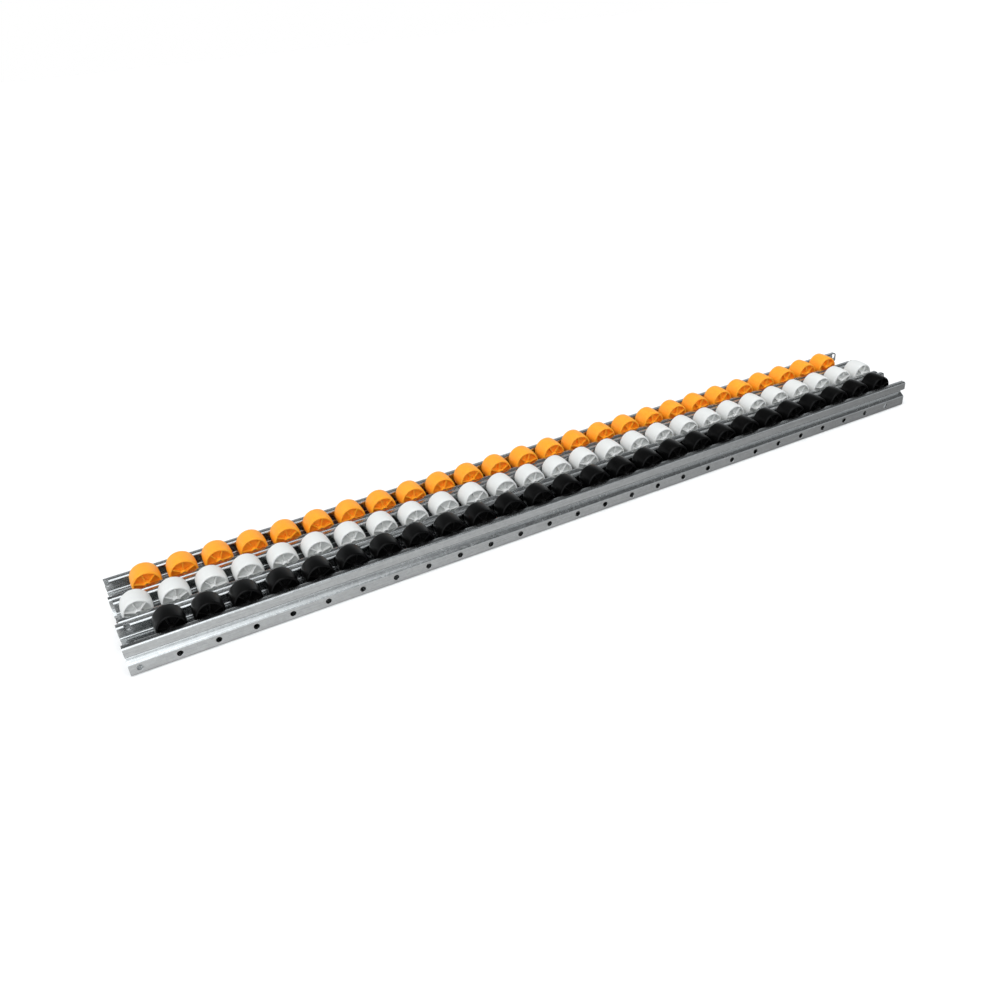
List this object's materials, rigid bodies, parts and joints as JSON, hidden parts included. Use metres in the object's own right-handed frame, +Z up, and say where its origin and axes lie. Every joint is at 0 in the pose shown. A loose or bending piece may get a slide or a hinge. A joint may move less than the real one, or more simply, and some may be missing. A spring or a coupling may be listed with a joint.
{
  "type": "flow rack roller track",
  "caption": "Three gravity flow rails side by side: bent steel channels with clip grooves, each carrying a row of free-turning plastic rollers on steel pins.",
  "frame": {"origin": "under the middle of the set, on the surface that the rails stand on", "axes": "+X along the tracks, +Y from the front rail (black rollers) to the rear rail (orange rollers), +Z up"},
  "size_m": [0.896, 0.12, 0.04],
  "materials": {
    "galvanised_steel": "galvanised sheet, faint spangle, satin",
    "pin_steel": "plain drawn wire, satin",
    "black_nylon": "moulded, half gloss",
    "white_nylon": "moulded, half gloss",
    "orange_nylon": "moulded, half gloss"
  },
  "bodies": {
    "tracks": {"front_rail": "galvanised_steel", "middle_rail": "galvanised_steel", "rear_rail": "galvanised_steel", "front_axle_pins": "pin_steel", "middle_axle_pins": "pin_steel", "rear_axle_pins": "pin_steel", "middle_rollers": "white_nylon"},
    "front_roller_01": {"front_roller_01": "black_nylon"},
    "front_roller_02": {"front_roller_02": "black_nylon"},
    "front_roller_03": {"front_roller_03": "black_nylon"},
    "front_roller_04": {"front_roller_04": "black_nylon"},
    "front_roller_05": {"front_roller_05": "black_nylon"},
    "front_roller_06": {"front_roller_06": "black_nylon"},
    "front_roller_07": {"front_roller_07": "black_nylon"},
    "front_roller_08": {"front_roller_08": "black_nylon"},
    "front_roller_09": {"front_roller_09": "black_nylon"},
    "front_roller_10": {"front_roller_10": "black_nylon"},
    "front_roller_11": {"front_roller_11": "black_nylon"},
    "front_roller_12": {"front_roller_12": "black_nylon"},
    "front_roller_13": {"front_roller_13": "black_nylon"},
    "front_roller_14": {"front_roller_14": "black_nylon"},
    "front_roller_15": {"front_roller_15": "black_nylon"},
    "front_roller_16": {"front_roller_16": "black_nylon"},
    "front_roller_17": {"front_roller_17": "black_nylon"},
    "front_roller_18": {"front_roller_18": "black_nylon"},
    "front_roller_19": {"front_roller_19": "black_nylon"},
    "front_roller_20": {"front_roller_20": "black_nylon"},
    "front_roller_21": {"front_roller_21": "black_nylon"},
    "front_roller_22": {"front_roller_22": "black_nylon"},
    "front_roller_23": {"front_roller_23": "black_nylon"},
    "front_roller_24": {"front_roller_24": "black_nylon"},
    "front_roller_25": {"front_roller_25": "black_nylon"},
    "front_roller_26": {"front_roller_26": "black_nylon"},
    "rear_roller_01": {"rear_roller_01": "orange_nylon"},
    "rear_roller_02": {"rear_roller_02": "orange_nylon"},
    "rear_roller_03": {"rear_roller_03": "orange_nylon"},
    "rear_roller_04": {"rear_roller_04": "orange_nylon"},
    "rear_roller_05": {"rear_roller_05": "orange_nylon"},
    "rear_roller_06": {"rear_roller_06": "orange_nylon"},
    "rear_roller_07": {"rear_roller_07": "orange_nylon"},
    "rear_roller_08": {"rear_roller_08": "orange_nylon"},
    "rear_roller_09": {"rear_roller_09": "orange_nylon"},
    "rear_roller_10": {"rear_roller_10": "orange_nylon"},
    "rear_roller_11": {"rear_roller_11": "orange_nylon"},
    "rear_roller_12": {"rear_roller_12": "orange_nylon"},
    "rear_roller_13": {"rear_roller_13": "orange_nylon"},
    "rear_roller_14": {"rear_roller_14": "orange_nylon"},
    "rear_roller_15": {"rear_roller_15": "orange_nylon"},
    "rear_roller_16": {"rear_roller_16": "orange_nylon"},
    "rear_roller_17": {"rear_roller_17": "orange_nylon"},
    "rear_roller_18": {"rear_roller_18": "orange_nylon"},
    "rear_roller_19": {"rear_roller_19": "orange_nylon"},
    "rear_roller_20": {"rear_roller_20": "orange_nylon"},
    "rear_roller_21": {"rear_roller_21": "orange_nylon"},
    "rear_roller_22": {"rear_roller_22": "orange_nylon"},
    "rear_roller_23": {"rear_roller_23": "orange_nylon"},
    "rear_roller_24": {"rear_roller_24": "orange_nylon"},
    "rear_roller_25": {"rear_roller_25": "orange_nylon"},
    "rear_roller_26": {"rear_roller_26": "orange_nylon"}
  },
  "joints": [
    {"name": "front_roller_01_spin", "type": "hinge", "parent": "tracks", "child": "front_roller_01", "pos_m": [-0.4062, -0.04, 0.0262], "axis": [0, 1, 0], "continuous": true},
    {"name": "front_roller_02_spin", "type": "hinge", "parent": "tracks", "child": "front_roller_02", "pos_m": [-0.3732, -0.04, 0.0262], "axis": [0, 1, 0], "continuous": true},
    {"name": "front_roller_03_spin", "type": "hinge", "parent": "tracks", "child": "front_roller_03", "pos_m": [-0.3402, -0.04, 0.0262], "axis": [0, 1, 0], "continuous": true},
    {"name": "front_roller_04_spin", "type": "hinge", "parent": "tracks", "child": "front_roller_04", "pos_m": [-0.3072, -0.04, 0.0262], "axis": [0, 1, 0], "continuous": true},
    {"name": "front_roller_05_spin", "type": "hinge", "parent": "tracks", "child": "front_roller_05", "pos_m": [-0.2742, -0.04, 0.0262], "axis": [0, 1, 0], "continuous": true},
    {"name": "front_roller_06_spin", "type": "hinge", "parent": "tracks", "child": "front_roller_06", "pos_m": [-0.2412, -0.04, 0.0262], "axis": [0, 1, 0], "continuous": true},
    {"name": "front_roller_07_spin", "type": "hinge", "parent": "tracks", "child": "front_roller_07", "pos_m": [-0.2082, -0.04, 0.0262], "axis": [0, 1, 0], "continuous": true},
    {"name": "front_roller_08_spin", "type": "hinge", "parent": "tracks", "child": "front_roller_08", "pos_m": [-0.1752, -0.04, 0.0262], "axis": [0, 1, 0], "continuous": true},
    {"name": "front_roller_09_spin", "type": "hinge", "parent": "tracks", "child": "front_roller_09", "pos_m": [-0.1422, -0.04, 0.0262], "axis": [0, 1, 0], "continuous": true},
    {"name": "front_roller_10_spin", "type": "hinge", "parent": "tracks", "child": "front_roller_10", "pos_m": [-0.1092, -0.04, 0.0262], "axis": [0, 1, 0], "continuous": true},
    {"name": "front_roller_11_spin", "type": "hinge", "parent": "tracks", "child": "front_roller_11", "pos_m": [-0.0762, -0.04, 0.0262], "axis": [0, 1, 0], "continuous": true},
    {"name": "front_roller_12_spin", "type": "hinge", "parent": "tracks", "child": "front_roller_12", "pos_m": [-0.0432, -0.04, 0.0262], "axis": [0, 1, 0], "continuous": true},
    {"name": "front_roller_13_spin", "type": "hinge", "parent": "tracks", "child": "front_roller_13", "pos_m": [-0.0102, -0.04, 0.0262], "axis": [0, 1, 0], "continuous": true},
    {"name": "front_roller_14_spin", "type": "hinge", "parent": "tracks", "child": "front_roller_14", "pos_m": [0.0228, -0.04, 0.0262], "axis": [0, 1, 0], "continuous": true},
    {"name": "front_roller_15_spin", "type": "hinge", "parent": "tracks", "child": "front_roller_15", "pos_m": [0.0558, -0.04, 0.0262], "axis": [0, 1, 0], "continuous": true},
    {"name": "front_roller_16_spin", "type": "hinge", "parent": "tracks", "child": "front_roller_16", "pos_m": [0.0888, -0.04, 0.0262], "axis": [0, 1, 0], "continuous": true},
    {"name": "front_roller_17_spin", "type": "hinge", "parent": "tracks", "child": "front_roller_17", "pos_m": [0.1218, -0.04, 0.0262], "axis": [0, 1, 0], "continuous": true},
    {"name": "front_roller_18_spin", "type": "hinge", "parent": "tracks", "child": "front_roller_18", "pos_m": [0.1548, -0.04, 0.0262], "axis": [0, 1, 0], "continuous": true},
    {"name": "front_roller_19_spin", "type": "hinge", "parent": "tracks", "child": "front_roller_19", "pos_m": [0.1878, -0.04, 0.0262], "axis": [0, 1, 0], "continuous": true},
    {"name": "front_roller_20_spin", "type": "hinge", "parent": "tracks", "child": "front_roller_20", "pos_m": [0.2208, -0.04, 0.0262], "axis": [0, 1, 0], "continuous": true},
    {"name": "front_roller_21_spin", "type": "hinge", "parent": "tracks", "child": "front_roller_21", "pos_m": [0.2538, -0.04, 0.0262], "axis": [0, 1, 0], "continuous": true},
    {"name": "front_roller_22_spin", "type": "hinge", "parent": "tracks", "child": "front_roller_22", "pos_m": [0.2868, -0.04, 0.0262], "axis": [0, 1, 0], "continuous": true},
    {"name": "front_roller_23_spin", "type": "hinge", "parent": "tracks", "child": "front_roller_23", "pos_m": [0.3198, -0.04, 0.0262], "axis": [0, 1, 0], "continuous": true},
    {"name": "front_roller_24_spin", "type": "hinge", "parent": "tracks", "child": "front_roller_24", "pos_m": [0.3528, -0.04, 0.0262], "axis": [0, 1, 0], "continuous": true},
    {"name": "front_roller_25_spin", "type": "hinge", "parent": "tracks", "child": "front_roller_25", "pos_m": [0.3858, -0.04, 0.0262], "axis": [0, 1, 0], "continuous": true},
    {"name": "front_roller_26_spin", "type": "hinge", "parent": "tracks", "child": "front_roller_26", "pos_m": [0.4188, -0.04, 0.0262], "axis": [0, 1, 0], "continuous": true},
    {"name": "rear_roller_01_spin", "type": "hinge", "parent": "tracks", "child": "rear_roller_01", "pos_m": [-0.4133, 0.04, 0.0262], "axis": [0, 1, 0], "continuous": true},
    {"name": "rear_roller_02_spin", "type": "hinge", "parent": "tracks", "child": "rear_roller_02", "pos_m": [-0.3803, 0.04, 0.0262], "axis": [0, 1, 0], "continuous": true},
    {"name": "rear_roller_03_spin", "type": "hinge", "parent": "tracks", "child": "rear_roller_03", "pos_m": [-0.3473, 0.04, 0.0262], "axis": [0, 1, 0], "continuous": true},
    {"name": "rear_roller_04_spin", "type": "hinge", "parent": "tracks", "child": "rear_roller_04", "pos_m": [-0.3143, 0.04, 0.0262], "axis": [0, 1, 0], "continuous": true},
    {"name": "rear_roller_05_spin", "type": "hinge", "parent": "tracks", "child": "rear_roller_05", "pos_m": [-0.2813, 0.04, 0.0262], "axis": [0, 1, 0], "continuous": true},
    {"name": "rear_roller_06_spin", "type": "hinge", "parent": "tracks", "child": "rear_roller_06", "pos_m": [-0.2483, 0.04, 0.0262], "axis": [0, 1, 0], "continuous": true},
    {"name": "rear_roller_07_spin", "type": "hinge", "parent": "tracks", "child": "rear_roller_07", "pos_m": [-0.2153, 0.04, 0.0262], "axis": [0, 1, 0], "continuous": true},
    {"name": "rear_roller_08_spin", "type": "hinge", "parent": "tracks", "child": "rear_roller_08", "pos_m": [-0.1823, 0.04, 0.0262], "axis": [0, 1, 0], "continuous": true},
    {"name": "rear_roller_09_spin", "type": "hinge", "parent": "tracks", "child": "rear_roller_09", "pos_m": [-0.1493, 0.04, 0.0262], "axis": [0, 1, 0], "continuous": true},
    {"name": "rear_roller_10_spin", "type": "hinge", "parent": "tracks", "child": "rear_roller_10", "pos_m": [-0.1163, 0.04, 0.0262], "axis": [0, 1, 0], "continuous": true},
    {"name": "rear_roller_11_spin", "type": "hinge", "parent": "tracks", "child": "rear_roller_11", "pos_m": [-0.0833, 0.04, 0.0262], "axis": [0, 1, 0], "continuous": true},
    {"name": "rear_roller_12_spin", "type": "hinge", "parent": "tracks", "child": "rear_roller_12", "pos_m": [-0.0503, 0.04, 0.0262], "axis": [0, 1, 0], "continuous": true},
    {"name": "rear_roller_13_spin", "type": "hinge", "parent": "tracks", "child": "rear_roller_13", "pos_m": [-0.0173, 0.04, 0.0262], "axis": [0, 1, 0], "continuous": true},
    {"name": "rear_roller_14_spin", "type": "hinge", "parent": "tracks", "child": "rear_roller_14", "pos_m": [0.0157, 0.04, 0.0262], "axis": [0, 1, 0], "continuous": true},
    {"name": "rear_roller_15_spin", "type": "hinge", "parent": "tracks", "child": "rear_roller_15", "pos_m": [0.0487, 0.04, 0.0262], "axis": [0, 1, 0], "continuous": true},
    {"name": "rear_roller_16_spin", "type": "hinge", "parent": "tracks", "child": "rear_roller_16", "pos_m": [0.0817, 0.04, 0.0262], "axis": [0, 1, 0], "continuous": true},
    {"name": "rear_roller_17_spin", "type": "hinge", "parent": "tracks", "child": "rear_roller_17", "pos_m": [0.1147, 0.04, 0.0262], "axis": [0, 1, 0], "continuous": true},
    {"name": "rear_roller_18_spin", "type": "hinge", "parent": "tracks", "child": "rear_roller_18", "pos_m": [0.1477, 0.04, 0.0262], "axis": [0, 1, 0], "continuous": true},
    {"name": "rear_roller_19_spin", "type": "hinge", "parent": "tracks", "child": "rear_roller_19", "pos_m": [0.1807, 0.04, 0.0262], "axis": [0, 1, 0], "continuous": true},
    {"name": "rear_roller_20_spin", "type": "hinge", "parent": "tracks", "child": "rear_roller_20", "pos_m": [0.2137, 0.04, 0.0262], "axis": [0, 1, 0], "continuous": true},
    {"name": "rear_roller_21_spin", "type": "hinge", "parent": "tracks", "child": "rear_roller_21", "pos_m": [0.2467, 0.04, 0.0262], "axis": [0, 1, 0], "continuous": true},
    {"name": "rear_roller_22_spin", "type": "hinge", "parent": "tracks", "child": "rear_roller_22", "pos_m": [0.2797, 0.04, 0.0262], "axis": [0, 1, 0], "continuous": true},
    {"name": "rear_roller_23_spin", "type": "hinge", "parent": "tracks", "child": "rear_roller_23", "pos_m": [0.3127, 0.04, 0.0262], "axis": [0, 1, 0], "continuous": true},
    {"name": "rear_roller_24_spin", "type": "hinge", "parent": "tracks", "child": "rear_roller_24", "pos_m": [0.3457, 0.04, 0.0262], "axis": [0, 1, 0], "continuous": true},
    {"name": "rear_roller_25_spin", "type": "hinge", "parent": "tracks", "child": "rear_roller_25", "pos_m": [0.3787, 0.04, 0.0262], "axis": [0, 1, 0], "continuous": true},
    {"name": "rear_roller_26_spin", "type": "hinge", "parent": "tracks", "child": "rear_roller_26", "pos_m": [0.4117, 0.04, 0.0262], "axis": [0, 1, 0], "continuous": true}
  ]
}
